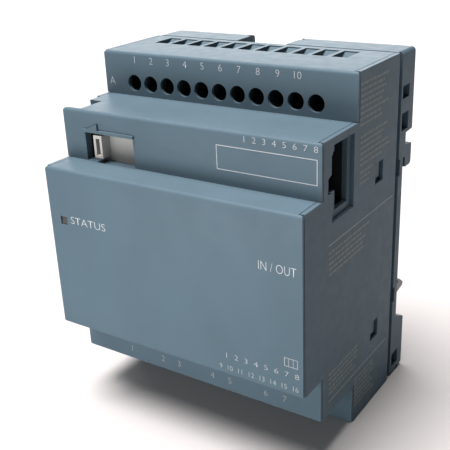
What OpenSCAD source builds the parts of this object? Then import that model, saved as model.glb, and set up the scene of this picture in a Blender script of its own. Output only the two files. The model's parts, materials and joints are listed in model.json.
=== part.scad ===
// Input and output expansion module for a 35 mm mounting rail, four module units wide.
// The front panel faces -Y, +X is to the right and the case stands on z = 0.
// The origin is the centre of the case's footprint.

/* [Case] */
// Overall width of the case
case_w = 71.5; // [71:0.1:72]
// Overall height of the case
case_h = 90; // [89.5:0.1:90.5]
// Overall depth, from the front panel to the rear face
case_d = 58; // [57.5:0.1:59]
// Wall thickness of the mouldings
wall = 2; // [1.9:0.05:2.1]
// Width of the housing's rim that shows beside the front cover
rim_w = 1.1; // [1:0.05:1.2]
// Radius of the front cover's outer edges and corners
edge_r = 0.8; // [0.4:0.1:1]

/* [Front steps] */
// Depth of the intermediate faces behind the front panel
middle_step = 8.4; // [8.2:0.1:8.6]
// Depth of the terminal faces behind the front panel
terminal_step = 25.4; // [25.2:0.1:25.6]
// Depth of the seam between the front housing and the rear base
seam_step = 48.5; // [48.4:0.1:48.6]
// Height of the front panel's lower edge
panel_bottom = 22.6; // [22:0.1:23]
// Height of the front panel's upper edge
panel_top = 66.2; // [66:0.1:66.4]
// Height of each terminal face, measured from the top and from the bottom
terminal_face_h = 11.1; // [11:0.1:11.3]

/* [Terminals] */
// Distance between neighbouring terminals
pitch = 5.19; // [5.1:0.01:5.2]
// Sideways place of the middle terminal
row_x = -0.35; // [-0.5:0.05:0]
// Distance of each screw row from the case's top or bottom
screw_row = 7.8; // [7.6:0.1:8]
// Radius of the holes that let a screwdriver in
driver_hole_r = 2.1; // [1.9:0.05:2.15]
// Width of a wire entry
entry_w = 4; // [3.8:0.1:4.1]
// Sideways offset of a wire entry from its screw
entry_shift = -1; // [-1.1:0.1:-0.6]
// Radius of a terminal screw's thread
thread_r = 1.25; // [1.2:0.01:1.27]

/* [Expansion bus] */
// Width of the slider's window in the upper intermediate face
window_w = 15.1; // [15:0.1:15.3]
// Height of the slider's window
window_h = 7.2; // [7:0.1:7.3]
// Distance of the window's left edge from the left side of the case
window_left = 6.7; // [6.6:0.1:6.8]
// Width of the slider's finger post
post_w = 2.6; // [2.4:0.1:2.7]
// Distance from the window's left edge to the post at rest
post_from_left = 3.2; // [3:0.1:3.2]

/* [Rail and wall mounting] */
// Height of the mounting rail across its flanges
rail_h = 35; // [34.8:0.1:35.2]
// Depth of the rail seat behind the front panel
seat_step = 52.7; // [52.6:0.1:52.8]
// Radius of the wall screw holes
wall_hole_r = 2.2; // [2.1:0.05:2.3]
// Sideways place of the wall slides
wall_slide_x = -2.5; // [-3:0.1:-2]

/* [Hidden] */
$fn = 48;
cut = 0.1;                       // how far a cutting solid runs past a face
fit_gap = 0.15;                  // clearance between fixed mouldings
move_gap = 0.3;                  // clearance around a moving piece
ways = 11;                       // terminals in a row
half_w = case_w / 2;
front_y = -case_d / 2;
rear_y = case_d / 2;
middle_y = front_y + middle_step;
terminal_y = front_y + terminal_step;
seam_y = front_y + seam_step;
seam_gap = 0.7;                  // open width of the seam groove
face_t = 0.7;                    // the cover's faces lap the side walls by this thickness
face_gap = 0.3;                  // groove between those faces and the side walls
shell_end_y = seam_y - seam_gap / 2;
base_start_y = seam_y + seam_gap / 2;
middle_top = case_h - terminal_face_h;
middle_bottom = terminal_face_h;
cover_half_w = half_w - rim_w - fit_gap;
ledge_in = wall + 0.1;           // how far the housing's ledge lies under the cover's face
ledge_x = half_w - 2.15;         // inner face of the housing's side walls
bulkhead_y = seam_y - 1.9;
barb_zs = [25.4, 61];            // heights of the snap barbs
barb_x = half_w - 2.45;
barb_h = 3.4;

// terminals, for the upper row; the lower row is its mirror image
screw_z = case_h - screw_row;
entry_y0 = seam_y - 9.9;
entry_l = 7.3;
entry_throat = 4.2;              // length left open at the bottom of an entry's slope
entry_lip = 0.3;
block_y0 = terminal_y + wall + 0.1;
block_y1 = bulkhead_y - 0.1;
block_z0 = case_h - 14;
block_z1 = case_h - wall - 0.1;
cage_y0 = 6.2;
cage_y1 = 16.8;
cage_half_w = 2;
cage_z0 = case_h - 11.6;
cage_z1 = case_h - 4.8;
cage_plate = 1.6;                // threaded front plate of a cage
cage_side = 0.6;
bar_y = 8.4;
bar_t = 0.8;
screw_head_r = 1.75;
screw_head_y = 3;
screw_head_t = 1.8;

// circuit boards, standing parallel to the front panel
board_t = 1.6;
io_board_y = 10.4;
io_board_z0 = 14.5;
io_board_z1 = 75.5;
logic_board_y = -14.6;
logic_board_z0 = 25;
logic_board_z1 = 59;
board_half_w = 33;
header_z = 34;
header_pitch = 2.54;
header_cols = 8;
pin_w = 0.64;
peg_x = 29;
peg_zs = [20, 70];
peg_r = 1.2;
logic_rib_x = 31.2;
supply_z = 46;                   // height of the supply's parts on the board
processor_z = 48;
indicator_x = 4.4 - half_w;
indicator_z = 52.5;
indicator_w = 2.2;

// expansion bus
window_x0 = window_left - half_w;
window_x1 = window_x0 + window_w;
window_z0 = panel_top + 0.1;
window_z1 = window_z0 + window_h;
post_x0 = window_x0 + post_from_left;
plate_y0 = middle_y + wall + move_gap;
plate_t = 1.2;
plug_y0 = plate_y0 + plate_t;
plug_y1 = plug_y0 + 9;
plug_z0 = 62.1;
plug_z1 = 76.4;
plug_x0 = 0.2 - half_w;
plug_x1 = -20;
plug_shelf_z = plug_z0 - move_gap;
contact_count = 6;
finger_pitch = 1.27;
blade_pitch = 1.9;
cutout_w = 5.1;
cutout_y0 = middle_y + 1;
cutout_y1 = middle_y + 8.7;
socket_y0 = middle_y + 2.7;
socket_y1 = middle_y + 14.7;
socket_z0 = 60.6;
socket_z1 = 76.6;
socket_x0 = 26;
socket_wall = 0.9;

// rear base
seat_y = front_y + seat_step;
rail_z0 = case_h / 2 - rail_h / 2;
rail_z1 = case_h / 2 + rail_h / 2;
rail_slot = 1.4;                 // room for the rail's 1 mm flange
hook_bottom = rail_z1 - 2.3;
hook_top = rail_z1 + 3.6;
groove_top = rail_z1 + 7;
groove_y = rear_y - 4;
foot_top = 18;
foot_top_rear = 15.6;
base_wall = 1.85;
cavity_y = seat_y - 1.8;
latch_z0 = 20;
latch_z1 = 31;
latch_travel = 5;
latch_half_w = 31.2;
latch_tongue = 1.9;
latch_plate_y0 = seat_y - 1.85;
latch_plate_y1 = seat_y - 0.25;
latch_slot_z0 = latch_z0 - latch_travel - 0.5;
spring_x = 24;
spring_y = latch_plate_y0 + 0.3;
spring_z0 = 9.4;
spring_r = 1.25;
spring_wire_r = 0.3;
spring_turns = 6;
spring_pocket_r = 1.75;
side_slot_y = seam_y + 2.4;
side_slot_w = 4.2;
side_slots = [[78.3, 3.2], [70.2, 4.5], [2.4, 4.3]];  // [lowest z, height]
side_groove_w = 1.2;             // dark groove beside the seam, on the sides only
side_groove_d = 0.8;
base_r = 1.2;                    // radius of the base's four corners
slide_w = 14.4;
slide_t = 2.4;
slide_y0 = rear_y - 2.7;
slide_end = 4.4;                 // from a slide's outer end to its screw hole
upper_slide_z0 = 70.5;
upper_slide_z1 = 84.4;
lower_slide_z0 = 0.6;
lower_slide_z1 = 14;
channel_w = slide_w + 0.6;
channel_y = rear_y - 5.6;

rows = ["upper", "lower"];

case_grey = [0.42, 0.49, 0.54];
dark_grey = [0.16, 0.18, 0.2];
slide_grey = [0.8, 0.8, 0.78];
latch_grey = [0.55, 0.57, 0.58];
board_green = [0.08, 0.32, 0.2];
brass = [0.8, 0.65, 0.3];
steel = [0.72, 0.73, 0.74];
chip_black = [0.09, 0.09, 0.1];

// ---- shared shapes ----

function way_x(i) = row_x + (i - (ways + 1) / 2) * pitch;

function unit(v) = v / norm(v);

// Points of the arc of radius r that rounds the corner at p, between its neighbours a and b.
function corner_arc(a, p, b, r, steps = 5) =
    r == 0 ? [p] :
    let (u = unit(a - p),
         w = unit(b - p),
         half = acos(u * w) / 2,
         centre = p + unit(u + w) * (r / sin(half)),
         from = p + u * (r / tan(half)) - centre,
         side = sign(cross(from, p + w * (r / tan(half)) - centre)))
    [for (i = [0:steps])
        let (t = side * (180 - 2 * half) * i / steps)
        centre + [from.x * cos(t) - from.y * sin(t), from.x * sin(t) + from.y * cos(t)]];

// An outline whose points are [u, v, radius].
function rounded(points) =
    let (n = len(points), flat = [for (p = points) [p.x, p.y]])
    [for (i = [0:n - 1])
        each corner_arc(flat[(i + n - 1) % n], flat[i], flat[(i + 1) % n], points[i][2])];

// Extrudes a (y, z) outline from x0 to x1.
module along_x(x0, x1) {
    translate([x0, 0, 0])
        rotate([90, 0, 90])
            linear_extrude(x1 - x0)
                children();
}

// Extrudes an (x, z) outline from y0 to y1.
module along_y(y0, y1) {
    translate([0, y1, 0])
        rotate([90, 0, 0])
            linear_extrude(y1 - y0)
                children();
}

// A box given by its lowest and highest corners.
module block(low, high) {
    translate(low)
        cube(high - low);
}

// A cylinder along Y.
module rod_y(x, z, y0, y1, r) {
    translate([x, y1, z])
        rotate([90, 0, 0])
            cylinder(h = y1 - y0, r = r);
}

// Places the upper row's shapes in either row.
module in_row(row) {
    if (row == "upper")
        children();
    else
        translate([0, 0, case_h])
            mirror([0, 0, 1])
                children();
}

// Side outline of the stepped front: its faces set back by back, its ledges set in by d,
// its outer corners rounded by r.
function stepped_outline(d, back, end_y, r) = rounded([
    [end_y, d, 0],
    [terminal_y + back, d, r],
    [terminal_y + back, middle_bottom + d, 0],
    [middle_y + back, middle_bottom + d, r],
    [middle_y + back, panel_bottom + d, 0],
    [front_y + back, panel_bottom + d, r],
    [front_y + back, panel_top - d, r],
    [middle_y + back, panel_top - d, 0],
    [middle_y + back, middle_top - d, r],
    [terminal_y + back, middle_top - d, 0],
    [terminal_y + back, case_h - d, r],
    [end_y, case_h - d, 0]
]);

// The front faces as [y, lowest z, highest z, radius of the low corners, of the high corners].
function faces() = [
    [front_y, panel_bottom, panel_top, edge_r, edge_r],
    [middle_y, panel_top + fit_gap, middle_top, 0, edge_r],
    [middle_y, middle_bottom, panel_bottom - fit_gap, edge_r, 0],
    [terminal_y, middle_top + fit_gap, case_h, 0, edge_r],
    [terminal_y, 0, middle_bottom - fit_gap, edge_r, 0]
];

// ---- case mouldings ----

// Stepped cover with the screwdriver holes, the wire entries and the slider's window.
module front_cover() {
    hole_wall = 0.9;
    hood_proud = 0.6;
    hood_z = window_z1 + 0.8;
    arrow_x = window_x0 + 4.4;
    color(case_grey)
    difference() {
        union() {
            difference() {
                along_x(-cover_half_w, cover_half_w)
                    polygon(stepped_outline(0, 0, shell_end_y, edge_r));
                along_x(-half_w, half_w)
                    polygon(stepped_outline(wall, wall, seam_y + 1, 0));
            }
            // faces at full width, which lap the side walls
            intersection() {
                along_x(-half_w, half_w)
                    polygon(stepped_outline(0, 0, shell_end_y, edge_r));
                for (face = faces())
                    along_y(face[0] - cut, face[0] + face_t)
                        polygon(rounded([[-half_w, face[1], face[3]], [half_w, face[1], face[3]],
                                         [half_w, face[2], face[4]], [-half_w, face[2], face[4]]]));
            }
            // hood over the slider's window
            block([window_x0 - 0.4, middle_y - hood_proud, window_z1 + 0.1],
                  [window_x1 + 0.4, middle_y + 0.5, hood_z]);
            // raised arrow that points to the window
            along_y(middle_y - hood_proud, middle_y + 0.5)
                polygon([[arrow_x - 3.6, hood_z], [arrow_x, hood_z], [arrow_x, hood_z + 1.6]]);
        }
        for (row = rows)
            in_row(row)
                for (i = [1:ways]) {
                    rod_y(way_x(i), screw_z, terminal_y - cut, terminal_y + wall + cut,
                          driver_hole_r);
                    // the wall is thin around the holes
                    block([way_x(i) - pitch / 2, terminal_y + hole_wall, screw_z - 2.6],
                          [way_x(i) + pitch / 2 + cut, terminal_y + wall + cut, screw_z + 2.6]);
                    // wire entry with a sloped rear wall that guides the wire in
                    along_x(way_x(i) + entry_shift - entry_w / 2,
                            way_x(i) + entry_shift + entry_w / 2)
                        polygon([[entry_y0, case_h - wall - cut], [entry_y0, case_h + cut],
                                 [entry_y0 + entry_l, case_h + cut],
                                 [entry_y0 + entry_l, case_h - entry_lip],
                                 [entry_y0 + entry_throat, case_h - wall - cut]]);
                }
        block([window_x0, middle_y - cut, window_z0],
              [window_x1, middle_y + wall + cut, window_z1]);
        block([indicator_x - indicator_w / 2, front_y - cut, indicator_z - indicator_w / 2],
              [indicator_x + indicator_w / 2, front_y + wall + cut,
               indicator_z + indicator_w / 2]);
        // relief over the expansion plug
        block([-half_w, cutout_y0, middle_top - wall - cut],
              [cutout_w - half_w, cutout_y1, middle_top + cut]);
    }
}

// Outline (y, z) of the expansion opening in the right side.
function socket_outline() = [
    [socket_y1 - socket_wall, 61.8], [socket_y1 - socket_wall, 77.2], [socket_y0 + 4.7, 77.2],
    [socket_y0 + 4.7, 75.2], [socket_y0 + 1.8, 75.2], [socket_y0 + 1.8, 71],
    [socket_y0 + 0.3, 70.4], [socket_y0 + 0.3, 66.9], [socket_y0 + 5, 66.4],
    [socket_y0 + 5, 61.8]
];

// One side wall: the rim at full size and the ledge that carries the cover.
module side_wall() {
    along_x(half_w - rim_w, half_w)
        polygon(stepped_outline(0, face_t + face_gap, shell_end_y, 0));
    along_x(ledge_x, half_w - rim_w + cut)
        polygon(stepped_outline(ledge_in, ledge_in, seam_y, 0));
}

// Front housing: two side walls, the bulkhead between them and the guides for what is inside.
module housing() {
    coding_slot_zs = [63.9, 21.3];
    slot_w = 4.4;
    slot_h = 5.2;
    slot_depth = 1.3;
    slot_gap = 1.3;
    tongue_sunk = 0.5;
    color(case_grey)
    difference() {
        union() {
            side_wall();
            mirror([1, 0, 0])
                side_wall();
            block([-ledge_x - cut, bulkhead_y, ledge_in],
                  [ledge_x + cut, base_start_y, case_h - ledge_in]);
            // pegs that carry the input and output board
            for (x = [-peg_x, peg_x])
                for (z = peg_zs) {
                    rod_y(x, z, io_board_y + board_t, bulkhead_y + cut, 2.4);
                    rod_y(x, z, io_board_y - 0.6, bulkhead_y, peg_r);
                }
            // ribs that carry the logic board
            for (side = [-1, 1])
                translate([side * (logic_rib_x + ledge_x + cut) / 2, logic_board_y + board_t, 26])
                    block([(logic_rib_x - ledge_x - cut) / 2, 0, 0],
                          [(ledge_x + cut - logic_rib_x) / 2, 2, 32]);
            // shelf under the plug and the riser board
            block([-ledge_x - cut, plug_y0 + 0.2, plug_shelf_z - 2.4],
                  [2.4, plug_y1 - 0.2, plug_shelf_z - 1.4]);
            block([-ledge_x - cut, plug_y0 + 0.2, plug_shelf_z - 1.5],
                  [plug_x1 + 0.2, plug_y1 - 0.2, plug_shelf_z]);
            // barbs that snap into the rear base's windows
            for (side = [-1, 1])
                for (z = barb_zs)
                    block([side * barb_x - 0.5, bulkhead_y + 1, z - barb_h / 2],
                          [side * barb_x + 0.5, seam_y + 1.9, z + barb_h / 2]);
        }
        // expansion opening, with a shallow step around it
        along_x(ledge_x - cut, half_w + cut)
            polygon(socket_outline());
        block([half_w - 0.9, socket_y0 + 2.3, 59.9], [half_w + cut, socket_y1 + 0.9, 77.2]);
        // passage for the expansion plug
        block([-half_w - cut, plug_y0 - move_gap, plug_shelf_z],
              [-ledge_x + cut, plug_y1 + move_gap, middle_top + cut]);
        block([-half_w - cut, middle_y + face_t, plug_shelf_z + 8],
              [-ledge_x + cut, plug_y0, middle_top + cut]);
        // coding slots: a sunk tongue with a deep gap behind it and below it
        for (z = coding_slot_zs)
            translate([half_w, seam_y - 12.7, z - slot_h / 2]) {
                block([-tongue_sunk, 0, 0], [cut, slot_w, slot_h]);
                block([-slot_depth, slot_w - slot_gap, 0], [cut, slot_w, slot_h]);
                block([-slot_depth, 0, 0], [cut, slot_w, slot_gap]);
            }
    }
}

// Outline (y, z) of the rear base: hook above the rail seat, foot below it.
function base_outline() = rounded([
    [base_start_y, 0, 0],
    [rear_y, 0, 0.6],
    [rear_y, foot_top_rear, 0.4],
    [seat_y, foot_top, 0],
    [seat_y, rail_z1 + 0.5, 0],
    [seat_y + rail_slot, rail_z1 + 0.5, 0],
    [seat_y + rail_slot, hook_bottom, 0.3],
    [rear_y, hook_bottom, 1],
    [rear_y, hook_top - 0.4, 0.3],
    [groove_y, hook_top, 0],
    [groove_y, groove_top - 0.2, 0],
    [rear_y, groove_top, 0.3],
    [rear_y, case_h, edge_r],
    [base_start_y, case_h, 0]
]);

// Channel that guides a wall slide, cut from z0 to z1.
module slide_channel(y0, z0, z1) {
    flange_y = slide_y0 + 0.8;
    block([wall_slide_x - channel_w / 2, y0, z0],
          [wall_slide_x + channel_w / 2, rear_y + cut, z1]);
    block([wall_slide_x - channel_w / 2 - 1.1, flange_y - move_gap, z0],
          [wall_slide_x + channel_w / 2 + 1.1, flange_y + 0.8 + move_gap, z1]);
}

// Rear base with the rail seat, the hook and the channels of the latch and slides.
module rear_base() {
    inner_x = half_w - base_wall;
    pocket_y = rear_y - 1.9;
    channel_side = channel_w / 2 + 2.6;
    color(case_grey)
    difference() {
        intersection() {
            along_x(-half_w, half_w)
                polygon(base_outline());
            along_y(base_start_y - 1, rear_y + 1)
                polygon(rounded([[-half_w, 0, base_r], [half_w, 0, base_r],
                                 [half_w, case_h, base_r], [-half_w, case_h, base_r]]));
        }
        // space behind the bulkhead
        block([-inner_x, base_start_y - cut, 33], [inner_x, cavity_y, case_h - wall]);
        for (span = [[-inner_x, wall_slide_x - channel_side],
                     [wall_slide_x + channel_side, inner_x]]) {
            block([span.x, base_start_y - cut, 71], [span.y, pocket_y, case_h - wall]);
            block([span.x, base_start_y - cut, wall], [span.y, pocket_y, 8.2]);
        }
        // slots in both sides
        for (side = [-1, 1])
            for (slot = side_slots)
                translate([side * half_w, side_slot_y, slot.x])
                    block([-base_wall - cut, 0, 0], [base_wall + cut, side_slot_w, slot.y]);
        // groove beside the seam, and windows for the housing's barbs
        for (side = [-1, 1])
            translate([side * half_w, base_start_y - cut, 0]) {
                block([-side_groove_d, 0, -cut],
                      [side_groove_d, side_groove_w + cut, case_h + cut]);
                for (z = barb_zs)
                    block([-3.2, 0, z - barb_h / 2 - 0.5], [3.2, 2.2, z + barb_h / 2 + 0.5]);
            }
        // upper slide's channel, open right through above the slide
        slide_channel(channel_y, groove_top, case_h + cut);
        block([wall_slide_x - channel_w / 2, base_start_y - cut, upper_slide_z1 + 0.3],
              [wall_slide_x + channel_w / 2, rear_y, case_h + cut]);
        slide_channel(rear_y - 3.6, -cut, lower_slide_z1 + 0.5);
        // latch plate's groove, with lips that keep it in
        block([-latch_half_w - latch_tongue - move_gap, latch_plate_y0 - 0.15, latch_slot_z0],
              [latch_half_w + latch_tongue + move_gap, latch_plate_y0 + 1, latch_z1 + 0.5]);
        block([-latch_half_w - move_gap, latch_plate_y0, latch_slot_z0],
              [latch_half_w + move_gap, seat_y + 0.05, latch_z1 + 0.5]);
        for (side = [-1, 1])
            translate([side * spring_x, spring_y, spring_z0 - 0.1])
                cylinder(h = latch_z0 - spring_z0 + 0.6, r = spring_pocket_r);
    }
}

// ---- terminals ----

// Insulating block that holds a row of clamps.
module terminal_block(row) {
    side_wall_t = 3.2;
    color(case_grey)
    in_row(row)
    difference() {
        block([way_x(1) - side_wall_t, block_y0, block_z0],
              [way_x(ways) + side_wall_t, block_y1, block_z1]);
        for (i = [1:ways]) {
            block([way_x(i) - cage_half_w - 0.2, cage_y0 - 0.6, cage_z0 - 0.5],
                  [way_x(i) + cage_half_w + 0.2, cage_y1 + 0.1, block_z1 + cut]);
            block([way_x(i) - 1.4, bar_y - 0.1, block_z0 - cut],
                  [way_x(i) + 1.4, bar_y + bar_t + 0.1, cage_z0]);
            rod_y(way_x(i), screw_z, block_y0 - cut, screw_head_y + screw_head_t + move_gap,
                  screw_head_r + move_gap);
            rod_y(way_x(i), screw_z, screw_head_y, cage_y0, thread_r + 0.35);
        }
    }
}

// Cage clamps: each a square tube that its screw draws towards the contact bar.
module clamp_cages(row) {
    color(steel)
    in_row(row)
        for (i = [1:ways])
            difference() {
                block([way_x(i) - cage_half_w, cage_y0, cage_z0],
                      [way_x(i) + cage_half_w, cage_y1, cage_z1]);
                block([way_x(i) - cage_half_w + cage_side, cage_y0 + cage_plate, cage_z0 - cut],
                      [way_x(i) + cage_half_w - cage_side, cage_y1 - 1, cage_z1 + cut]);
                rod_y(way_x(i), screw_z, cage_y0 - cut, cage_y0 + cage_plate + cut,
                      thread_r + 0.07);
            }
}

// Contact bars: each stands in its cage and has a foot on the input and output board.
module contact_bars(row) {
    foot_z = io_board_z1 - 2.6;
    color(brass)
    in_row(row)
        for (i = [1:ways]) {
            block([way_x(i) - 1.2, bar_y, foot_z - 0.8],
                  [way_x(i) + 1.2, bar_y + bar_t, cage_z1 - 0.4]);
            block([way_x(i) - 0.5, bar_y + bar_t - 0.05, foot_z - 0.5],
                  [way_x(i) + 0.5, io_board_y, foot_z + 0.5]);
        }
}

// Captive terminal screw with a cross recess, facing the front.
module terminal_screw(row, i) {
    recess_w = 0.5;
    recess_depth = 0.9;
    color(steel)
    in_row(row)
    difference() {
        union() {
            rod_y(way_x(i), screw_z, screw_head_y, screw_head_y + screw_head_t, screw_head_r);
            rod_y(way_x(i), screw_z, screw_head_y + screw_head_t - cut, bar_y - 0.2, thread_r);
        }
        for (turn = [0, 90])
            translate([way_x(i), screw_head_y, screw_z])
                rotate([0, turn, 0])
                    cube([2.6, 2 * recess_depth, recess_w], center = true);
    }
}

// ---- circuit boards ----

// Input and output board behind the terminals.
module io_board() {
    color(board_green)
    difference() {
        block([-board_half_w, io_board_y, io_board_z0],
              [board_half_w, io_board_y + board_t, io_board_z1]);
        for (x = [-peg_x, peg_x])
            for (z = peg_zs)
                rod_y(x, z, io_board_y - cut, io_board_y + board_t + cut, peg_r + 0.1);
    }
}

// Logic board behind the front panel.
module logic_board() {
    color(board_green)
        block([-board_half_w, logic_board_y, logic_board_z0],
              [board_half_w, logic_board_y + board_t, logic_board_z1]);
}

// Places a shape at each pin of the header between the two boards.
module at_header_pins() {
    for (col = [1:header_cols])
        for (level = [0, 1])
            translate([(col - (header_cols + 1) / 2) * header_pitch, 0,
                       header_z + (level - 0.5) * header_pitch])
                children();
}

// Header's insulators, one on each board.
module board_header() {
    body_half_w = header_cols * header_pitch / 2;
    color(chip_black)
    difference() {
        for (span = [[logic_board_y + board_t, logic_board_y + board_t + 2.5],
                     [io_board_y - 6, io_board_y]])
            block([-body_half_w, span.x, header_z - header_pitch],
                  [body_half_w, span.y, header_z + header_pitch]);
        at_header_pins()
            block([-pin_w / 2 - 0.05, logic_board_y, -pin_w / 2 - 0.05],
                  [pin_w / 2 + 0.05, io_board_y + 1, pin_w / 2 + 0.05]);
    }
}

module header_pins() {
    color(brass)
        at_header_pins()
            block([-pin_w / 2, logic_board_y + board_t, -pin_w / 2],
                  [pin_w / 2, io_board_y, pin_w / 2]);
}

// Indicator on the logic board.
module run_led() {
    color([0.85, 0.85, 0.7])
        block([indicator_x - 0.8, logic_board_y - 0.8, indicator_z - 0.6],
              [indicator_x + 0.8, logic_board_y, indicator_z + 0.6]);
}

// Clear rod that carries the indicator's light to the front panel.
module light_guide() {
    guide_w = indicator_w - 0.2;
    color([0.75, 0.8, 0.8, 0.7])
        block([indicator_x - guide_w / 2, front_y + 0.3, indicator_z - guide_w / 2],
              [indicator_x + guide_w / 2, logic_board_y - 1, indicator_z + guide_w / 2]);
}

// A row of equal chips on a board's front face.
module chip_row(count, spacing, z, size, board_y, lead_count) {
    lead_w = 0.4;
    for (i = [1:count])
        translate([(i - (count + 1) / 2) * spacing, board_y, z]) {
            block([-size.x / 2, -size.y, -size.z / 2], [size.x / 2, -0.15, size.z / 2]);
            for (lead = [1:lead_count])
                translate([(lead - (lead_count + 1) / 2) * 1.27, 0, 0])
                    block([-lead_w / 2, -size.y / 2, -size.z / 2 - 0.8],
                          [lead_w / 2, 0, size.z / 2 + 0.8]);
        }
}

module processor_chip() {
    color(chip_black)
        chip_row(1, 0, processor_z, [10, 1.5, 10], logic_board_y, 7);
}

module clock_crystal() {
    color(steel)
        translate([12, logic_board_y, processor_z])
            rotate([90, 0, 0])
                cylinder(h = 3.2, r = 2.2);
}

// One isolator for each input.
module optocouplers() {
    color(dark_grey)
        chip_row(8, 7.2, 64, [4.6, 2.2, 4.4], io_board_y, 2);
}

// Power switches for the outputs.
module output_drivers() {
    color(chip_black)
        chip_row(4, 13, 24.5, [5, 1.8, 4.4], io_board_y, 4);
}

module supply_inductor() {
    color(dark_grey)
        translate([23, io_board_y, supply_z])
            rotate([90, 0, 0])
                difference() {
                    cylinder(h = 7, r = 5.5);
                    translate([0, 0, 1.5])
                        rotate_extrude()
                            translate([4.6, 0])
                                square([2, 4]);
                }
}

module supply_capacitors() {
    color([0.2, 0.24, 0.32])
        for (x = [-22, -11])
            translate([x, io_board_y, supply_z])
                rotate([90, 0, 0])
                    cylinder(h = 12, r = 4);
}

module supply_fuse() {
    color([0.85, 0.85, 0.8])
        block([4, io_board_y - 2.6, supply_z + 6], [11, io_board_y, supply_z + 8.6]);
}

// ---- expansion bus ----

// Finger slider: a hollow post in the window and the plate behind it.
module expansion_slider() {
    post_z0 = window_z0 + 1.2;
    post_z1 = window_z1 - 0.4;
    hollow_w = 0.7;                  // wall of the hollow post
    proud = 0.7;
    color(slide_grey)
    difference() {
        union() {
            block([post_x0, middle_y - proud, post_z0],
                  [post_x0 + post_w, plate_y0 + cut, post_z1]);
            block([post_x0 - 0.4, plate_y0, window_z0 - 1], [window_x1 + 1, plug_y0, window_z1 + 1]);
        }
        block([post_x0 + hollow_w, middle_y - proud - cut, post_z0 + hollow_w],
              [post_x0 + post_w - hollow_w, plug_y0 + cut, post_z1 - hollow_w]);
    }
}

// Plug carriage: it comes out of the left side when the slider is pushed left.
module expansion_plug() {
    mouth = 1.2;
    mouth_depth = 5;
    tongue_t = 1.6;
    mid_y = (plug_y0 + plug_y1) / 2;
    color(dark_grey)
    difference() {
        block([plug_x0, plug_y0, plug_z0], [plug_x1, plug_y1, plug_z1]);
        difference() {
            block([plug_x0 - cut, plug_y0 + mouth, plug_z0 + mouth],
                  [plug_x0 + mouth_depth, plug_y1 - mouth, plug_z1 - mouth]);
            block([plug_x0 + 0.8, mid_y - tongue_t / 2, plug_z0 + mouth],
                  [plug_x0 + mouth_depth, mid_y + tongue_t / 2, plug_z1 - mouth]);
        }
        // grooves for the wiping fingers
        for (i = [1:contact_count])
            block([plug_x1 - 3, finger_y(i) - 0.4, plug_z0 - cut],
                  [plug_x1 + cut, finger_y(i) + 0.4, plug_z0 + 0.55]);
    }
}

function finger_y(i) = (plug_y0 + plug_y1) / 2 + (i - (contact_count + 1) / 2) * finger_pitch;

function blade_z(i) = (plug_z0 + plug_z1) / 2 + (i - (contact_count + 1) / 2) * blade_pitch;

// Blades on the plug's tongue and the fingers that wipe along the bus strips.
module plug_contacts() {
    tongue_y = (plug_y0 + plug_y1) / 2 + 0.8;
    color(brass)
    for (i = [1:contact_count]) {
        block([plug_x0 + 1.2, tongue_y, blade_z(i) - 0.4],
              [plug_x0 + 4.9, tongue_y + 0.3, blade_z(i) + 0.4]);
        block([plug_x1 - 2.9, finger_y(i) - 0.3, plug_z0 + 0.2],
              [plug_x1 + 8, finger_y(i) + 0.3, plug_z0 + 0.5]);
    }
}

// Small board under the plug's fingers.
module bus_riser_board() {
    color(board_green)
        block([plug_x1 + 0.4, plug_y0 + 0.4, plug_shelf_z - 1.4],
              [2, plug_y1 - 0.4, plug_shelf_z - 0.2]);
}

module bus_strips() {
    color(brass)
        for (i = [1:contact_count])
            block([plug_x1 + 0.8, finger_y(i) - 0.4, plug_shelf_z - 0.2],
                  [1.6, finger_y(i) + 0.4, plug_shelf_z - 0.1]);
}

// Black socket behind the opening in the right side.
module expansion_socket() {
    socket_x1 = ledge_x - 0.1;
    color(chip_black)
    difference() {
        block([socket_x0, socket_y0, socket_z0], [socket_x1, socket_y1, socket_z1]);
        difference() {
            block([socket_x0 + 2, socket_y0 + socket_wall, socket_z0 + 1.3],
                  [socket_x1 + cut, socket_y1 - socket_wall, socket_z1 + cut]);
            block([socket_x0, socket_y0 + 2, socket_z0],
                  [socket_x1 - 1.6, socket_y0 + 3.4, socket_z1 - 1.2]);
        }
    }
}

module socket_contacts() {
    contact_y = socket_y0 + 3.4;
    color(brass)
        for (i = [1:contact_count])
            block([socket_x0 + 2.2, contact_y, blade_z(i) - 0.4],
                  [socket_x0 + 5.4, contact_y + 0.3, blade_z(i) + 0.4]);
}

// ---- rail latch and wall slides ----

// Sprung latch: its nose holds the rail's lower flange.
module rail_latch() {
    nose_y0 = seat_y + 0.25;
    lip_y = seat_y + rail_slot;
    tongue_t = 0.7;
    color(latch_grey)
    union() {
        block([-latch_half_w, latch_plate_y0, latch_z0], [latch_half_w, latch_plate_y1, latch_z1]);
        block([-latch_half_w - latch_tongue, latch_plate_y0, latch_z0],
              [latch_half_w + latch_tongue, latch_plate_y0 + tongue_t, latch_z1]);
        along_x(-latch_half_w, latch_half_w)
            polygon([[latch_plate_y1 - cut, rail_z0 - 2.9], [nose_y0 + cut, rail_z0 - 2.9],
                     [nose_y0 + cut, rail_z0 - 0.2], [latch_plate_y1 - cut, rail_z0 - 0.2]]);
        along_x(0.35 - half_w, half_w - 0.35)
            polygon([[nose_y0, rail_z0 - 2.9], [rear_y - 0.6, rail_z0 - 2.1],
                     [rear_y - 0.4, rail_z0 - 1.2], [lip_y + 0.8, rail_z0 + 0.8],
                     [lip_y, rail_z0 + 0.8], [lip_y, rail_z0 - 0.2], [nose_y0, rail_z0 - 0.2]]);
    }
}

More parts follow.
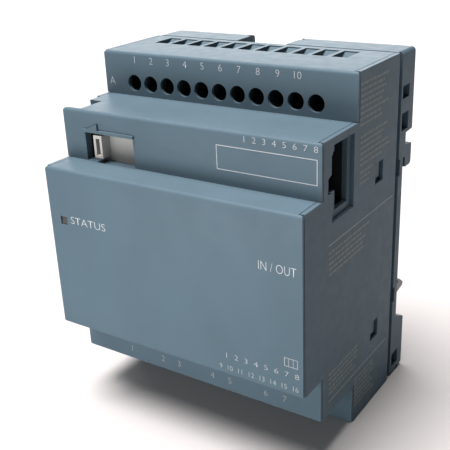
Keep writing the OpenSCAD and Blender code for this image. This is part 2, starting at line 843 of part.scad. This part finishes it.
// Coil spring standing at x, as a swept wire.
module latch_spring(x) {
    sides = 8;
    steps = 14;
    rings = spring_turns * steps;
    length = latch_z0 - 0.05 - spring_z0 - 2 * spring_wire_r;
    points = [
        for (i = [0:rings])
            let (turn = 360 * i / steps)
            for (j = [0:sides - 1])
                let (r = spring_r + spring_wire_r * cos(360 * j / sides))
                [r * cos(turn), r * sin(turn),
                 length * i / rings + spring_wire_r * sin(360 * j / sides)]
    ];
    faces = concat(
        [[for (j = [0:sides - 1]) j]],
        [for (i = [0:rings - 1]) for (j = [0:sides - 1])
            [i * sides + j, (i + 1) * sides + j,
             (i + 1) * sides + (j + 1) % sides, i * sides + (j + 1) % sides]],
        [[for (j = [sides - 1:-1:0]) rings * sides + j]]
    );
    color(steel)
        translate([x, spring_y, spring_z0 + spring_wire_r])
            polyhedron(points, faces, convexity = 10);
}

// Pull-out slide with a wall screw hole, from z0 to z1, the hole at hole_z.
module wall_slide(z0, z1, hole_z) {
    flange_y = slide_y0 + 0.8;
    grip_z = hole_z > (z0 + z1) / 2 ? hole_z - 5 : hole_z + 5;
    color(dark_grey)
    difference() {
        union() {
            block([wall_slide_x - slide_w / 2, slide_y0, z0],
                  [wall_slide_x + slide_w / 2, slide_y0 + slide_t, z1]);
            block([wall_slide_x - slide_w / 2 - 1, flange_y, z0],
                  [wall_slide_x + slide_w / 2 + 1, flange_y + 0.8, z1]);
        }
        rod_y(wall_slide_x, hole_z, slide_y0 - cut, slide_y0 + slide_t + cut, wall_hole_r);
        // slot for the screwdriver that pulls the slide out
        block([wall_slide_x - 3, slide_y0 - cut, grip_z - 0.6],
              [wall_slide_x + 3, slide_y0 + slide_t + cut, grip_z + 0.6]);
    }
}

front_cover();
housing();
rear_base();
io_board();
logic_board();
board_header();
header_pins();
run_led();
light_guide();
expansion_slider();
expansion_plug();
plug_contacts();
bus_riser_board();
bus_strips();
expansion_socket();
socket_contacts();
rail_latch();
latch_spring(-spring_x);  // left_latch_spring
latch_spring(spring_x);  // right_latch_spring
wall_slide(upper_slide_z0, upper_slide_z1, upper_slide_z1 - slide_end);  // upper_wall_slide
wall_slide(lower_slide_z0, lower_slide_z1, lower_slide_z0 + slide_end);  // lower_wall_slide
processor_chip();
clock_crystal();
optocouplers();
output_drivers();
supply_inductor();
supply_capacitors();
supply_fuse();
for (row = rows) {
    terminal_block(row);
    clamp_cages(row);
    contact_bars(row);
    for (i = [1:ways])
        terminal_screw(row, i);
}
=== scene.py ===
"""Looks of the rail-mounted input and output module: edges, materials, prints, stage and camera."""

import json
import math
import random

import bmesh
import bpy
from mathutils import Matrix, Vector

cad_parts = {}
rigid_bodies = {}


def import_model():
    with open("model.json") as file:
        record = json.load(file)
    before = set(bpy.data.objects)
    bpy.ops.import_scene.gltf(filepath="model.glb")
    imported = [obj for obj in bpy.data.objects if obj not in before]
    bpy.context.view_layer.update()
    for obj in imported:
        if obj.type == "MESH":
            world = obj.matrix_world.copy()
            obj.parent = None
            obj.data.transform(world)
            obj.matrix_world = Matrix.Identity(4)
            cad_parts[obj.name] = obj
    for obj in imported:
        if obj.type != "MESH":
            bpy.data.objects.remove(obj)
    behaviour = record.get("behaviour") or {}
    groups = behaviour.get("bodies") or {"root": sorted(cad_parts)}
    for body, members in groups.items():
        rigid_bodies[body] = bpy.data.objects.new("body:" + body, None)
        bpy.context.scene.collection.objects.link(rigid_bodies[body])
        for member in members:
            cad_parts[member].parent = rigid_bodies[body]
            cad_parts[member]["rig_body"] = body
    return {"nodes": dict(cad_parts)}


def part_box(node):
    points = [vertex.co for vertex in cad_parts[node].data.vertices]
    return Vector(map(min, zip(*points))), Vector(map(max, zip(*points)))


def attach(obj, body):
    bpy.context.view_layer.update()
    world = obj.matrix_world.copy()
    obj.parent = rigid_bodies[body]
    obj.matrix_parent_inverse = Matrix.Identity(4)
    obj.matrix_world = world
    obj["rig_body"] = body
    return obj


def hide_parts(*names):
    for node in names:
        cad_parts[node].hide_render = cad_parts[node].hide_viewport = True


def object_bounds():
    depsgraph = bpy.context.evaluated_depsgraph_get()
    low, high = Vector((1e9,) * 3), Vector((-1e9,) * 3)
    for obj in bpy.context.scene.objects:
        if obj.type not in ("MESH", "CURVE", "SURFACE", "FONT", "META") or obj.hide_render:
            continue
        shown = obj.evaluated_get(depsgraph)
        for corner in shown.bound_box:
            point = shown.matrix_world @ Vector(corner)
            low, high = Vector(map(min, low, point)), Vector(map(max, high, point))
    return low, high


MM = 0.001
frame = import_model()
cad_low, cad_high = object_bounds()
scene = bpy.context.scene
nodes = frame["nodes"]

# ---- places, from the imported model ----

CASE = "case"
POST_PROUD = 0.7 * MM            # how far the slider's post stands out of the middle face
BLOCK_BEHIND = 2.1 * MM          # from the terminal face back to the terminal block
SLIDER_DIP = 0.9 * MM            # how far the slider reaches below the panel's top
TERMINAL_STEP = 11.1 * MM        # height of the terminal step, at the top and at the bottom
SIDE_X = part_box("housing")[1].x
PANEL_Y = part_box("front_cover")[0].y
MIDDLE_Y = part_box("expansion_slider")[0].y + POST_PROUD
SCREW_1, SCREW_2 = (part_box(f"upper_screw_{i}") for i in (1, 2))
PITCH = SCREW_2[0].x - SCREW_1[0].x
WAYS = 11
WAY_1_X = (SCREW_1[0].x + SCREW_1[1].x) / 2
TERMINAL_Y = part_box("upper_terminal_block")[0].y - BLOCK_BEHIND
TOP_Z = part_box("rear_base")[1].z
PANEL_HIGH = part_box("expansion_slider")[0].z + SLIDER_DIP
PANEL_LOW = 22.6 * MM
MIDDLE_HIGH = TOP_Z - TERMINAL_STEP
MIDDLE_LOW = TERMINAL_STEP

# ---- camera ----

CAMERA_EYE = Vector((106.63, -159.68, 127.05)) * MM
CAMERA_AZIMUTH = math.radians(34.43)
CAMERA_ELEVATION = math.radians(22.70)
CAMERA_ROLL = math.radians(-2.59)
CAMERA_LENS = 64.33


def make_camera():
    """Looks down on the front and the right side, as a hand-held picture does."""
    camera = bpy.data.objects.new("camera", bpy.data.cameras.new("camera"))
    scene.collection.objects.link(camera)
    camera.data.lens = CAMERA_LENS
    camera.data.clip_start = 0.01
    turn = Matrix.Rotation(CAMERA_AZIMUTH, 4, "Z")
    tilt = Matrix.Rotation(math.pi / 2 - CAMERA_ELEVATION, 4, "X")
    roll = Matrix.Rotation(CAMERA_ROLL, 4, "Z")
    camera.matrix_world = Matrix.Translation(CAMERA_EYE) @ turn @ tilt @ roll
    scene.camera = camera


# ---- materials ----


class Graph:
    """A material's node graph, with short calls for the nodes that the materials share."""

    def __init__(self, name):
        self.material = bpy.data.materials.new(name)
        self.material.use_nodes = True
        self.tree = self.material.node_tree
        self.shader = self.tree.nodes["Principled BSDF"]
        self.place = self.tree.nodes.new("ShaderNodeTexCoord").outputs["Object"]

    def node(self, kind, **values):
        made = self.tree.nodes.new(kind)
        for key, value in values.items():
            setattr(made, key, value)
        return made

    def link(self, output, socket):
        self.tree.links.new(output, socket)

    def noise(self, size, detail=2.0, stretch=(1, 1, 1)):
        """Noise whose features are about size metres across."""
        source = self.place
        if stretch != (1, 1, 1):
            mapping = self.node("ShaderNodeMapping")
            mapping.inputs["Scale"].default_value = stretch
            self.link(self.place, mapping.inputs["Vector"])
            source = mapping.outputs["Vector"]
        made = self.node("ShaderNodeTexNoise")
        made.inputs["Scale"].default_value = 1 / size
        made.inputs["Detail"].default_value = detail
        self.link(source, made.inputs["Vector"])
        return made.outputs["Fac"]

    def ramp(self, value, low, high, start, end):
        """Maps value from low..high to start..end."""
        made = self.node("ShaderNodeMapRange")
        for name, number in zip(("From Min", "From Max", "To Min", "To Max"),
                                (low, high, start, end)):
            made.inputs[name].default_value = number
        self.link(value, made.inputs["Value"])
        return made.outputs["Result"]

    def spread(self, noise, start, end):
        """Maps the part of a noise's range that it mostly fills to start..end."""
        return self.ramp(noise, 0.3, 0.7, start, end)

    def mix(self, factor, first, second):
        """Mixes two colours, each an output or an (r, g, b)."""
        made = self.node("ShaderNodeMix", data_type="RGBA")
        self.link(factor, made.inputs["Factor"])
        for socket, colour in ((made.inputs["A"], first), (made.inputs["B"], second)):
            if isinstance(colour, tuple):
                socket.default_value = (*colour, 1)
            else:
                self.link(colour, socket)
        return made.outputs["Result"]

    def times(self, first, second):
        made = self.node("ShaderNodeMath", operation="MULTIPLY")
        self.link(first, made.inputs[0])
        self.link(second, made.inputs[1])
        return made.outputs["Value"]

    def edges(self, radius):
        """1 along rounded edges, 0 on open faces; it marks where edges are painted lighter, partly
        as rubbing and partly as painted highlight.
        """
        rounded = self.node("ShaderNodeBevel", samples=4)
        rounded.inputs["Radius"].default_value = radius
        face = self.node("ShaderNodeNewGeometry").outputs["Normal"]
        dot = self.node("ShaderNodeVectorMath", operation="DOT_PRODUCT")
        self.link(rounded.outputs["Normal"], dot.inputs[0])
        self.link(face, dot.inputs[1])
        return self.ramp(dot.outputs["Value"], 1.0, 0.85, 0.0, 1.0)

    def bump(self, height, depth, strength=1.0):
        made = self.node("ShaderNodeBump")
        made.inputs["Strength"].default_value = strength
        made.inputs["Distance"].default_value = depth
        self.link(height, made.inputs["Height"])
        self.link(made.outputs["Normal"], self.shader.inputs["Normal"])

    def colour(self, output):
        self.link(output, self.shader.inputs["Base Color"])

    def roughness(self, output):
        self.link(output, self.shader.inputs["Roughness"])


def shade(colour, factor):
    return tuple(min(1.0, c * factor) for c in colour)


def moulded_plastic(name, colour, rough=0.45, grain=0.12 * MM, depth=0.006 * MM, wear_and_sheen=0.35,
                    gloss=0.09):
    """Spark-eroded moulded plastic: fine grain, faint flow mottling, and edges painted lighter,
    partly as rubbing and partly as painted highlight.
    """
    g = Graph(name)
    flow = g.spread(g.noise(14 * MM, 3, (1, 1, 0.6)), 0, 1)
    base = g.mix(flow, shade(colour, 0.95), shade(colour, 1.05))
    # Rounded edges are painted up to 1.6 times lighter in noisy patches: partly rubbing, partly a
    # painted highlight along the edges.
    scuff_and_sheen = g.ramp(g.noise(1.1 * MM, 4), 0.45, 0.75, 0, wear_and_sheen)
    worn_and_sheen = g.times(g.edges(0.35 * MM), scuff_and_sheen)
    g.colour(g.mix(worn_and_sheen, base, shade(colour, 1.6)))
    g.roughness(g.spread(g.noise(3 * MM, 4), rough - 0.05, rough + 0.06))
    g.bump(g.noise(grain, 2), depth)
    g.shader.inputs["IOR"].default_value = 1.5
    g.shader.inputs["Specular IOR Level"].default_value = gloss
    return g.material


def plated_metal(name, colour, rough=0.3, streak=(1, 1, 6)):
    """Plated sheet or wire with drawn streaks and dull patches."""
    g = Graph(name)
    tone = g.spread(g.noise(0.8 * MM, 3, streak), 0, 1)
    g.colour(g.mix(tone, shade(colour, 0.82), shade(colour, 1.08)))
    g.roughness(g.spread(g.noise(0.5 * MM, 3, streak), rough - 0.08, rough + 0.12))
    g.bump(g.noise(0.2 * MM, 2, streak), 0.003 * MM)
    g.shader.inputs["Metallic"].default_value = 1.0
    return g.material


def laminate(name, colour):
    """Solder-masked glass laminate with copper tracks under the mask."""
    g = Graph(name)
    tracks = g.node("ShaderNodeTexBrick")
    mapping = g.node("ShaderNodeMapping")
    mapping.inputs["Rotation"].default_value = (math.pi / 2, 0, 0)
    g.link(g.place, mapping.inputs["Vector"])
    g.link(mapping.outputs["Vector"], tracks.inputs["Vector"])
    tracks.inputs["Scale"].default_value = 120
    tracks.inputs["Mortar Size"].default_value = 0.03
    raised = tracks.outputs["Fac"]
    weave = g.spread(g.noise(0.5 * MM, 2), 0, 1)
    base = g.mix(weave, shade(colour, 0.85), shade(colour, 1.1))
    g.colour(g.mix(raised, base, shade(colour, 1.7)))
    g.roughness(g.spread(g.noise(2 * MM, 2), 0.25, 0.38))
    g.bump(raised, 0.03 * MM)
    return g.material


def clear_rod(name):
    """Smoked clear plastic light guide with a lightly frosted body."""
    g = Graph(name)
    haze = g.spread(g.noise(0.6 * MM, 3), 0, 1)
    g.colour(g.mix(haze, (0.05, 0.055, 0.055), (0.08, 0.085, 0.085)))
    g.roughness(g.spread(g.noise(0.3 * MM, 2), 0.12, 0.3))
    g.bump(g.noise(0.3 * MM, 2), 0.003 * MM)
    g.shader.inputs["Transmission Weight"].default_value = 0.6
    g.shader.inputs["IOR"].default_value = 1.49
    return g.material


def print_ink(name, colour):
    """Laser or pad print: matt, slightly uneven."""
    g = Graph(name)
    patch = g.ramp(g.noise(0.25 * MM, 3), 0.35, 0.65, 0, 1)
    g.colour(g.mix(patch, shade(colour, 0.86), shade(colour, 1.04)))
    g.roughness(g.spread(g.noise(0.4 * MM, 2), 0.55, 0.7))
    g.bump(g.noise(0.1 * MM, 2), 0.002 * MM)
    return g.material


def floor_finish(name):
    """Pale matt studio floor."""
    g = Graph(name)
    cloud = g.spread(g.noise(0.4, 2), 0, 1)
    g.colour(g.mix(cloud, (0.30, 0.302, 0.305), (0.32, 0.322, 0.325)))
    g.roughness(g.spread(g.noise(0.05, 2), 0.7, 0.8))
    g.shader.inputs["Specular IOR Level"].default_value = 0.2
    return g.material


CASE_COLOUR = (0.061, 0.096, 0.121)
# LIGHT_COLOUR is set darker than the pale plastic's own grey, as painted shade for the slider's
# plate behind its window.
LIGHT_COLOUR = (0.33, 0.327, 0.31)

case_plastic = moulded_plastic("case_plastic", CASE_COLOUR)
light_plastic = moulded_plastic("light_plastic", LIGHT_COLOUR, rough=0.5, wear_and_sheen=0.15)
latch_plastic = moulded_plastic("latch_plastic", (0.26, 0.27, 0.27), rough=0.5, wear_and_sheen=0.2)
dark_plastic = moulded_plastic("dark_plastic", (0.012, 0.014, 0.016), rough=0.55, wear_and_sheen=0.3)
chip_plastic = moulded_plastic("chip_plastic", (0.012, 0.012, 0.013), rough=0.6, wear_and_sheen=0.1)
sleeve_plastic = moulded_plastic("sleeve_plastic", (0.03, 0.045, 0.09), rough=0.35, wear_and_sheen=0.2)
fuse_plastic = moulded_plastic("fuse_plastic", (0.62, 0.6, 0.52), rough=0.4, wear_and_sheen=0.1)
ferrite = moulded_plastic("ferrite", (0.025, 0.025, 0.028), rough=0.7, grain=0.3 * MM,
                          depth=0.02 * MM)
led_plastic = moulded_plastic("led_plastic", (0.75, 0.72, 0.5), rough=0.3, wear_and_sheen=0.1)
zinc_steel = plated_metal("zinc_steel", (0.62, 0.63, 0.64), 0.35)
spring_steel = plated_metal("spring_steel", (0.5, 0.5, 0.52), 0.25)
crystal_can = plated_metal("crystal_can", (0.75, 0.75, 0.74), 0.22)
contact_brass = plated_metal("contact_brass", (0.75, 0.52, 0.2), 0.28)
board_laminate = laminate("board_laminate", (0.012, 0.085, 0.04))
clear_plastic = clear_rod("clear_plastic")
front_ink = print_ink("front_ink", (0.33, 0.355, 0.38))
soft_ink = print_ink("soft_ink", (0.26, 0.285, 0.3))
side_ink = print_ink("side_ink", (0.12, 0.142, 0.138))
rule_ink = print_ink("rule_ink", (0.22, 0.24, 0.24))

FINISHES = {
    case_plastic: ["front_cover", "housing", "rear_base"],
    light_plastic: ["expansion_slider", "upper_wall_slide", "lower_wall_slide"],
    latch_plastic: ["rail_latch"],
    # The expansion plug takes dark plastic partly as painted shade: a dark plug body is plausible,
    # and it makes the shaded left part of the slider window read black.
    dark_plastic: ["upper_terminal_block", "lower_terminal_block", "board_header",
                   "expansion_socket", "expansion_plug"],
    board_laminate: ["io_board", "logic_board", "bus_riser_board"],
    contact_brass: ["header_pins", "plug_contacts", "bus_strips", "socket_contacts",
                    "upper_contact_bars", "lower_contact_bars"],
    zinc_steel: ["upper_clamp_cages", "lower_clamp_cages",
                 *(f"{row}_screw_{i}" for row in ("upper", "lower")
                   for i in range(1, WAYS + 1))],
    spring_steel: ["left_latch_spring", "right_latch_spring"],
    crystal_can: ["clock_crystal"],
    chip_plastic: ["processor_chip", "optocouplers", "output_drivers"],
    ferrite: ["supply_inductor"],
    sleeve_plastic: ["supply_capacitors"],
    fuse_plastic: ["supply_fuse"],
    led_plastic: ["run_led"],
    clear_plastic: ["light_guide"],
}


def finish_nodes():
    """Gives every CAD node its material."""
    for material, names in FINISHES.items():
        for name in names:
            slots = nodes[name].data.materials
            slots.clear()
            slots.append(material)


# ---- rounded edges on the mouldings ----

CORNER_ANGLE = math.radians(55)  # sharper edges than this are rounded
SMOOTH_ANGLE = math.radians(30)  # edges flatter than this are shaded smooth
ON_PLANE = 0.01 * MM
WIDE_SHARE = 0.85                # how much of the room beside it a wide rounding may take
NARROW_SHARE = 0.42


def room_beside(edge, corners):
    """Distance from an edge to the nearest parallel corner edge on either of its faces."""
    along = (edge.verts[1].co - edge.verts[0].co).normalized()
    middle = (edge.verts[0].co + edge.verts[1].co) / 2
    nearest = 1.0
    for face in edge.link_faces:
        for other in face.edges:
            if other is edge or other not in corners:
                continue
            way = other.verts[1].co - other.verts[0].co
            if abs(way.normalized().dot(along)) < 0.9:
                continue
            offset = (other.verts[0].co + other.verts[1].co) / 2 - middle
            across = offset - along * offset.dot(along)
            if across.length > 1e-6:
                nearest = min(nearest, across.length)
    return nearest


def rounded_copy(node, radius, wide=None, wide_radius=0.0):
    """A copy of a moulding with its corner edges rounded, which stands for the CAD node.

    wide picks the edges that take wide_radius, from an edge's two ends.
    """
    source = nodes[node]
    bm = bmesh.new()
    bm.from_mesh(source.data)
    bmesh.ops.remove_doubles(bm, verts=bm.verts, dist=1e-6)
    bmesh.ops.dissolve_limit(bm, angle_limit=math.radians(0.5), verts=bm.verts,
                             edges=bm.edges, delimit=set())
    corners = {e for e in bm.edges
               if len(e.link_faces) == 2 and e.calc_face_angle(0) > CORNER_ANGLE}
    largest = max(radius, wide_radius)
    weight = bm.edges.layers.float.new("bevel_weight_edge")
    for edge in bm.edges:
        angle = edge.calc_face_angle(0) if len(edge.link_faces) == 2 else 0
        edge.smooth = angle < SMOOTH_ANGLE
        if edge in corners:
            wanted, share = radius, NARROW_SHARE
            if wide and wide(edge):
                wanted, share = wide_radius, WIDE_SHARE
            edge[weight] = min(wanted, share * room_beside(edge, corners)) / largest
    for face in bm.faces:
        face.smooth = True
    mesh = bpy.data.meshes.new(f"{node}_moulding")
    bm.to_mesh(mesh)
    bm.free()
    if "custom_normal" in mesh.attributes:
        mesh.attributes.remove(mesh.attributes["custom_normal"])
    piece = bpy.data.objects.new(f"{node}_moulding", mesh)
    scene.collection.objects.link(piece)
    mesh.materials.clear()
    mesh.materials.append(source.data.materials[0])
    bevel = piece.modifiers.new("corners", "BEVEL")
    bevel.limit_method = "WEIGHT"
    bevel.width = largest
    bevel.segments = 3
    bevel.use_clamp_overlap = False
    bevel.harden_normals = True
    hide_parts(node)
    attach(piece, source["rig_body"])
    return piece


def on_side_outline(edge):
    """True on the outer edges of the housing's two sides, outside the expansion opening."""
    ends = [v.co for v in edge.verts]
    if any(abs(abs(p.x) - SIDE_X) > ON_PLANE for p in ends):
        return False
    outward = [f.normal for f in edge.link_faces if abs(f.normal.x) < 0.5]
    if not outward:
        return False
    beyond = (ends[0] + ends[1]) / 2 + outward[0] * 2 * MM
    return not inside_side(beyond.y, beyond.z)


def inside_side(y, z):
    """True where (y, z) lies within the stepped outline of the case's side."""
    low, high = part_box("housing")
    steps = ((TERMINAL_Y, low.z, high.z), (MIDDLE_Y, MIDDLE_LOW, MIDDLE_HIGH),
             (PANEL_Y, PANEL_LOW, PANEL_HIGH))
    return y < high.y and any(y > start and bottom < z < top for start, bottom, top in steps)


def on_face_side(edge):
    """True on the upright edges at both ends of the cover's front faces."""
    a, b = (v.co for v in edge.verts)
    return (abs(abs(a.x) - SIDE_X) < ON_PLANE and abs(a.x - b.x) < ON_PLANE
            and abs(a.y - b.y) < ON_PLANE
            and any(abs(a.y - y) < ON_PLANE for y in (PANEL_Y, MIDDLE_Y, TERMINAL_Y)))


# ---- prints: plain numbers, generic words and blocks of unreadable lines ----

INK_LIFT = 0.03 * MM
LINE_W = 0.22                    # width of a printed rule, in millimetres
THINNER = -0.012                 # draws the letters in, as a fine print has them
DIGIT_SHIFT = 0.6                # the numbers stand this far right of their holes
DIGIT_HIGH = 1.7
SIDE_PRINT = (                   # small print on the side: start, end, top and rows
    (-2.4, 15.5, 87.4, 8),
    (-2, 15.5, 75.5, 6),
    (-2, 5.5, 67.2, 3),
    (-17, 4, 53.4, 5),
    (-16.6, 3, 22.2, 5),
    (-2.4, 10, 12.6, 7),
)


def facing_front(y):
    """Frame of a face towards -Y: marks read along +X and stand along +Z."""
    return Matrix(((1, 0, 0, 0), (0, 0, -1, y), (0, 1, 0, 0), (0, 0, 0, 1)))


def facing_right(x):
    """Frame of a face towards +X: marks read along +Y and stand along +Z."""
    return Matrix(((0, 0, 1, x), (1, 0, 0, 0), (0, 1, 0, 0), (0, 0, 0, 1)))


class Marks:
    """Flat marks on one face of the case, gathered into one piece; sizes in millimetres."""

    def __init__(self, face):
        self.bm = bmesh.new()
        self.face = face

    def bar(self, u0, v0, u1, v1):
        corners = ((u0, v0), (u1, v0), (u1, v1), (u0, v1))
        self.bm.faces.new([self.bm.verts.new(self.face @ Vector((u * MM, v * MM, INK_LIFT)))
                           for u, v in corners])

    def frame(self, u0, v0, u1, v1, line=LINE_W):
        for v in (v0, v1 - line):
            self.bar(u0, v, u1, v + line)
        for u in (u0, u1 - line):
            self.bar(u, v0 + line, u + line, v1 - line)

    def word(self, text, u, v, height, width=None):
        """Text centred on (u, v); width stretches or squeezes it to that length."""
        curve = bpy.data.curves.new("word", "FONT")
        curve.body = text
        curve.resolution_u = 3
        curve.offset = THINNER
        holder = bpy.data.objects.new("word", curve)
        mesh = bpy.data.meshes.new_from_object(holder)
        low, high = ([pick(p.co[i] for p in mesh.vertices) for i in (0, 1)]
                     for pick in (min, max))
        tall = height * MM / (high[1] - low[1])
        wide = width * MM / (high[0] - low[0]) if width else tall
        centre = Matrix.Translation((-(low[0] + high[0]) / 2, -(low[1] + high[1]) / 2, 0))
        size = Matrix.Diagonal((wide, tall, 1, 1))
        put = Matrix.Translation((u * MM, v * MM, INK_LIFT))
        mesh.transform(self.face @ put @ size @ centre)
        self.bm.from_mesh(mesh)
        bpy.data.objects.remove(holder)
        bpy.data.curves.remove(curve)
        bpy.data.meshes.remove(mesh)

    def lines(self, rng, u0, u1, v_top, rows, step=1.3, height=0.6):
        """Rows of word-long bars, as small print looks from a distance."""
        for row in range(rows):
            v = v_top - row * step
            end = u1 - rng.uniform(0, 0.35) * (u1 - u0)
            u = u0
            while u < end - 0.8:
                length = min(rng.uniform(0.6, 2.4), end - u)
                self.bar(u, v - height, u + length, v)
                u += length + 0.35

    def piece(self, name, ink):
        mesh = bpy.data.meshes.new(name)
        self.bm.to_mesh(mesh)
        self.bm.free()
        mesh.materials.append(ink)
        made = bpy.data.objects.new(name, mesh)
        scene.collection.objects.link(made)
        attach(made, CASE)


def panel_marks():
    """Status word and module word on the front panel."""
    marks = Marks(facing_front(PANEL_Y))
    marks.word("STATUS", -23.4, 53.1, 1.9, 11.2)
    marks.word("IN / OUT", 29.7, 53.3, 2.1, 9.2)
    return marks


def output_marks():
    """Two rows of numbers and a small table at the panel's lower right."""
    marks = Marks(facing_front(PANEL_Y))
    marks.word("1  2  3  4  5  6  7  8", 25.3, 28.1, 1.3, 19)
    marks.word("9  10  11  12  13  14  15  16", 24.2, 24.8, 1.3, 20.8)
    marks.frame(31.1, 30.1, 34.5, 32.3, 0.15)
    for u in (32.15, 33.3):
        marks.bar(u, 30.25, u + 0.12, 32.15)
    return marks


def middle_marks():
    """A row of numbers and the outlined label field on the upper intermediate face."""
    marks = Marks(facing_front(MIDDLE_Y))
    marks.word("1  2  3  4  5  6  7  8", 26, 77.55, 1.35, 17.8)
    marks.frame(9.8, 69.75, 34.8, 75.45, 0.2)
    return marks


def way_u(way):
    """Where a terminal's number is centred along the row, in millimetres."""
    return (WAY_1_X + (way - 1) * PITCH) / MM + DIGIT_SHIFT


def terminal_marks():
    """A number over each terminal but the last, and a row letter at the left."""
    marks = Marks(facing_front(TERMINAL_Y))
    for i in range(1, WAYS):
        marks.word(str(i), way_u(i), TOP_Z / MM - 1.85, DIGIT_HIGH)
    marks.word("A", -33.6, 82.3, 1.9)
    return marks


def lower_marks():
    """Numbers on the lower step."""
    marks = Marks(facing_front(MIDDLE_Y))
    for number, way in enumerate((2, 4, 5, 7, 8, 10, 11), 1):
        marks.word(str(number), way_u(way), 14.5, DIGIT_HIGH)
    return marks


def side_marks():
    """Unreadable small print on the right side."""
    rng = random.Random(11)
    marks = Marks(facing_right(SIDE_X))
    for start, end, top, rows in SIDE_PRINT:
        marks.lines(rng, start, end, top, rows)
    return marks


def side_rules():
    """Two printed rules across the right side."""
    marks = Marks(facing_right(SIDE_X))
    marks.bar(-17.2, 54.9, 18, 55.15)
    marks.bar(-16.6, 14.4, 16.8, 14.65)
    return marks


# ---- stage ----


FLOOR_HALF = 4                   # metres
SUN_FROM = Vector((-0.19, -0.17, 1))
SUN_POWER = 10.6
SUN_ANGLE = math.radians(38)
SKY_STRENGTH = 0.105
LIGHT_AIM = (0, 0, 0.05)


def area_light(name, place, aim, size, energy, colour=(1, 1, 1)):
    data = bpy.data.lights.new(name, "AREA")
    data.shape = "RECTANGLE"
    data.size, data.size_y = size
    data.energy = energy
    data.color = colour
    lamp = bpy.data.objects.new(name, data)
    scene.collection.objects.link(lamp)
    lamp.location = place
    lamp.rotation_euler = (Vector(aim) - Vector(place)).to_track_quat("-Z", "Y").to_euler()


def make_stage():
    """Pale floor, a wide soft light overhead, weak ones behind and low in front."""
    mesh = bpy.data.meshes.new("floor")
    bm = bmesh.new()
    bmesh.ops.create_grid(bm, x_segments=4, y_segments=4, size=FLOOR_HALF)
    bm.to_mesh(mesh)
    bm.free()
    floor = bpy.data.objects.new("floor", mesh)
    floor.location.z = cad_low.z
    scene.collection.objects.link(floor)
    mesh.materials.append(floor_finish("floor_finish"))
    key = bpy.data.lights.new("overhead", "SUN")
    key.energy = SUN_POWER
    key.angle = SUN_ANGLE
    key.color = (1, 0.93, 0.91)
    lamp = bpy.data.objects.new("overhead", key)
    lamp.rotation_euler = SUN_FROM.to_track_quat("Z", "Y").to_euler()
    scene.collection.objects.link(lamp)
    area_light("behind_left", (-0.5, 0.75, 0.42), LIGHT_AIM, (0.9, 0.5), 5, (1, 0.98, 0.96))
    area_light("front_low", (-0.02, -0.14, 0.03), (0, 0, 0.035), (0.14, 0.05), 0.16)
    world = bpy.data.worlds.new("studio")
    scene.world = world
    world.use_nodes = True
    sky = world.node_tree.nodes["Background"]
    sky.inputs["Color"].default_value = (0.9, 0.95, 1, 1)
    sky.inputs["Strength"].default_value = SKY_STRENGTH
    scene.view_settings.view_transform = "Standard"


finish_nodes()
rounded_copy("front_cover", 0.15 * MM, on_face_side, 0.3 * MM)
rounded_copy("housing", 0.2 * MM, on_side_outline, 0.6 * MM)
rounded_copy("rear_base", 0.3 * MM)
for moving in ("rail_latch", "expansion_slider", "upper_wall_slide", "lower_wall_slide"):
    rounded_copy(moving, 0.15 * MM)
rounded_copy("expansion_plug", 0.15 * MM)
panel_marks().piece("panel_marks", front_ink)
output_marks().piece("output_marks", soft_ink)
middle_marks().piece("middle_marks", front_ink)
terminal_marks().piece("terminal_marks", front_ink)
lower_marks().piece("lower_marks", rule_ink)
side_marks().piece("side_marks", side_ink)
side_rules().piece("side_rules", rule_ink)
make_camera()
make_stage()
